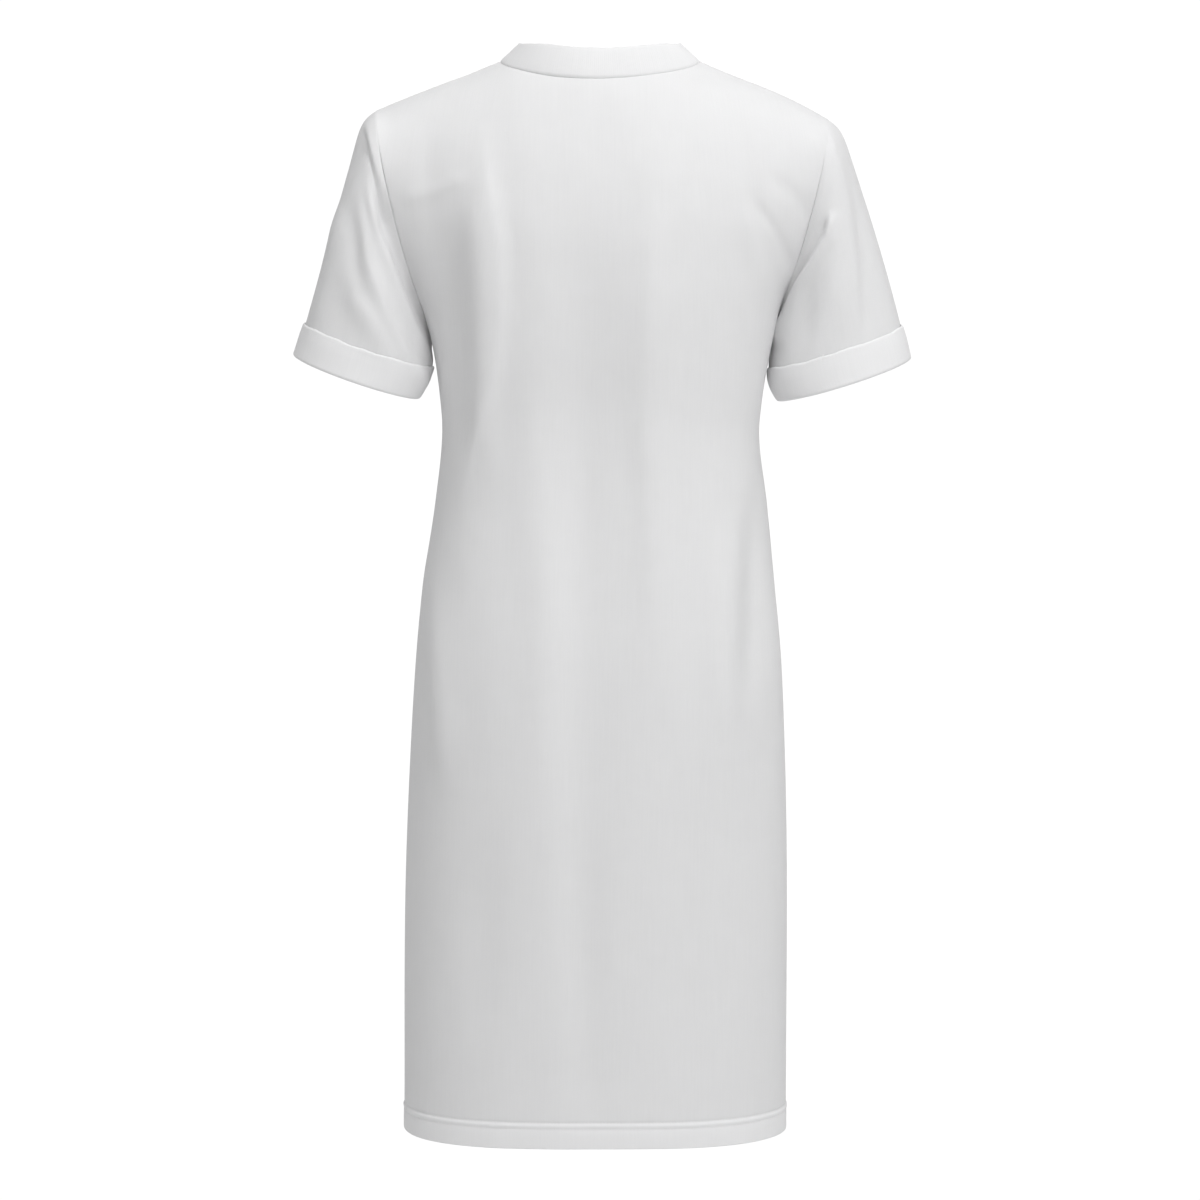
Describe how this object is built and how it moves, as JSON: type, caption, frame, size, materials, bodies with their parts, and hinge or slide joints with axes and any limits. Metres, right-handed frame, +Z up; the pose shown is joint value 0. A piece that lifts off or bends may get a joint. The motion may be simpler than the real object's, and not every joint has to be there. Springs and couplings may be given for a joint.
{
  "type": "t-shirt dress",
  "caption": "Straight knee-length t-shirt dress with a crew neckband, set-in short sleeves and turned-up cuffs, hollow and filled out as worn.",
  "frame": {"origin": "middle of the neck opening, level with the points where the shoulder seams meet the neckband", "axes": "+Z up, -Y out of the front, +X towards the wearer's left"},
  "size_m": [0.5502, 0.2309, 0.9647],
  "materials": {
    "jersey": "matt fine cotton jersey",
    "rib_knit": "matt fine rib knit"
  },
  "bodies": {
    "root": {"back": "jersey", "front": "jersey", "sleeve_left": "jersey", "cuff_left": "jersey", "sleeve_right": "jersey", "cuff_right": "jersey", "neckband": "rib_knit"}
  },
  "joints": []
}
